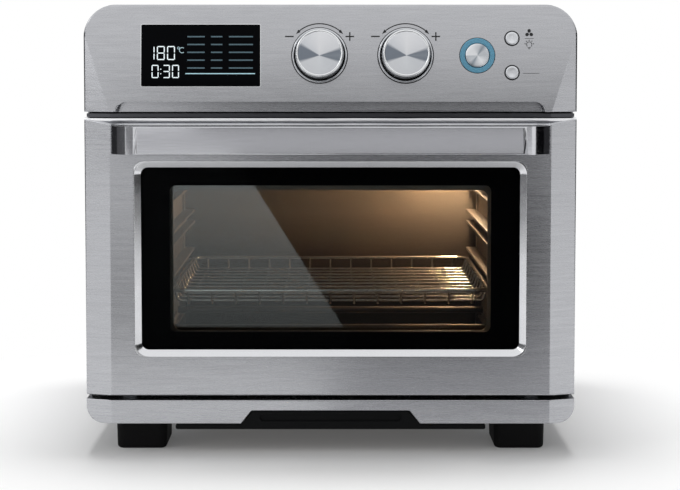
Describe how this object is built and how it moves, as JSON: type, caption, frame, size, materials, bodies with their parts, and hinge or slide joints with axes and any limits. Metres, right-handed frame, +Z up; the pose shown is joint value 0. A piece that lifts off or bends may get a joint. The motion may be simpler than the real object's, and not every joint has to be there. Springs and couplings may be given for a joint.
{
  "type": "air fryer oven",
  "caption": "Countertop air fryer oven: steel cabinet on rubber feet, drop-down glass door with strap handle, tilted control panel with knobs, wire basket, crumb tray and fan.",
  "frame": {"origin": "centre of the overall footprint, on the surface that the feet stand on", "axes": "+X to the right seen from the front, -Y out of the front door, +Z up"},
  "size_m": [0.412, 0.388, 0.377],
  "materials": {
    "brushed_steel": "fine brushed stainless steel, grain running across",
    "handle_steel": "satin brushed stainless steel strap",
    "bezel_steel": "bright satin steel bevel",
    "frame_steel": "heat-proof black enamel",
    "galvanised_steel": "galvanised sheet steel",
    "aluminised_steel": "aluminised sheet steel, dull",
    "zinc_steel": "zinc plated steel",
    "window_glass": "tempered glass with a printed black border",
    "inner_glass": "clear tempered glass",
    "lamp_glass": "clear lamp glass, warm when lit",
    "display_lens": "gloss black display window",
    "spun_aluminium": "spun aluminium with turning rings",
    "black_plastic": "moulded black plastic",
    "light_ring": "translucent ring lit pale blue",
    "circuit_board": "solder masked board",
    "encoder_metal": "die cast body and plated shaft",
    "foot_rubber": "moulded black rubber",
    "seal_silicone": "soft silicone",
    "basket_wire": "chrome plated wire",
    "element_sheath": "heat-tinted steel sheath",
    "fan_aluminium": "stamped aluminium"
  },
  "bodies": {
    "oven": {"cabinet_wrap": "brushed_steel", "control_panel": "brushed_steel", "lower_trim": "brushed_steel", "front_frame": "frame_steel", "back_panel": "galvanised_steel", "base_pan": "galvanised_steel", "tray_runners": "galvanised_steel", "motor_bracket": "galvanised_steel", "fan_housing": "galvanised_steel", "lamp_housing": "galvanised_steel", "cavity_liner": "aluminised_steel", "rack_rail_left": "aluminised_steel", "rack_rail_right": "aluminised_steel", "fan_guard": "aluminised_steel", "lower_element_brackets": "aluminised_steel", "upper_element_brackets": "aluminised_steel", "back_screws": "zinc_steel", "foot_screws": "zinc_steel", "hinge_arm_left": "zinc_steel", "hinge_arm_right": "zinc_steel", "fan_motor": "zinc_steel", "temperature_probe": "zinc_steel", "lamp_lens": "lamp_glass", "lamp_bulb": "lamp_glass", "display_lens": "display_lens", "function_knob_ring": "black_plastic", "temperature_knob_ring": "black_plastic", "cable_gland": "black_plastic", "start_light_ring": "light_ring", "control_board": "circuit_board", "power_board": "circuit_board", "encoders": "encoder_metal", "foot_front_left": "foot_rubber", "foot_front_right": "foot_rubber", "foot_rear_left": "foot_rubber", "foot_rear_right": "foot_rubber", "door_seal": "seal_silicone", "lower_elements": "element_sheath", "upper_elements": "element_sheath"},
    "door": {"door_panel": "brushed_steel", "window_bezel": "bezel_steel", "outer_glass": "window_glass", "door_inner_frame": "frame_steel", "inner_glass": "inner_glass", "handle_strap": "handle_steel", "handle_screws": "zinc_steel", "hinge_brackets": "zinc_steel", "hinge_pins": "zinc_steel"},
    "basket": {"air_fry_basket": "basket_wire"},
    "crumb_drawer": {"crumb_tray": "galvanised_steel", "crumb_tray_grip": "black_plastic"},
    "function_dial": {"function_knob": "spun_aluminium"},
    "temperature_dial": {"temperature_knob": "spun_aluminium"},
    "start_key": {"start_button": "spun_aluminium"},
    "fan_key": {"fan_button": "spun_aluminium"},
    "lamp_key": {"lamp_button": "spun_aluminium"},
    "fan_rotor": {"convection_fan": "fan_aluminium", "fan_spindle": "zinc_steel", "cooling_fan": "fan_aluminium"}
  },
  "joints": [
    {"name": "door_hinge", "type": "hinge", "parent": "oven", "child": "door", "pos_m": [0, -0.148, 0.055], "axis": [1, 0, 0], "range_deg": [0, 90]},
    {"name": "basket_slide", "type": "slide", "parent": "oven", "child": "basket", "axis": [0, -1, 0], "range_m": [0, 0.12]},
    {"name": "crumb_tray_slide", "type": "slide", "parent": "oven", "child": "crumb_drawer", "axis": [0, -1, 0], "range_m": [0, 0.18]},
    {"name": "function_turn", "type": "hinge", "parent": "oven", "child": "function_dial", "pos_m": [-0.0091, -0.14908, 0.3346], "axis": [0, -0.9946, 0.104], "continuous": true},
    {"name": "temperature_turn", "type": "hinge", "parent": "oven", "child": "temperature_dial", "pos_m": [0.0626, -0.14908, 0.3346], "axis": [0, -0.9946, 0.104], "continuous": true},
    {"name": "start_press", "type": "slide", "parent": "oven", "child": "start_key", "axis": [0, 0.9946, -0.104], "range_m": [0, 0.001], "stiffness_N_per_m": 900, "springref_m": -0.0006},
    {"name": "fan_press", "type": "slide", "parent": "oven", "child": "fan_key", "axis": [0, 0.9946, -0.104], "range_m": [0, 0.001], "stiffness_N_per_m": 900, "springref_m": -0.0006},
    {"name": "lamp_press", "type": "slide", "parent": "oven", "child": "lamp_key", "axis": [0, 0.9946, -0.104], "range_m": [0, 0.001], "stiffness_N_per_m": 900, "springref_m": -0.0006},
    {"name": "fan_spin", "type": "hinge", "parent": "oven", "child": "fan_rotor", "pos_m": [0, 0.022, 0.28], "axis": [0, 0, 1], "continuous": true}
  ],
  "couplings": [
    {"joint": "basket_slide", "follows": "door_hinge", "m_per_rad": 0.075}
  ]
}
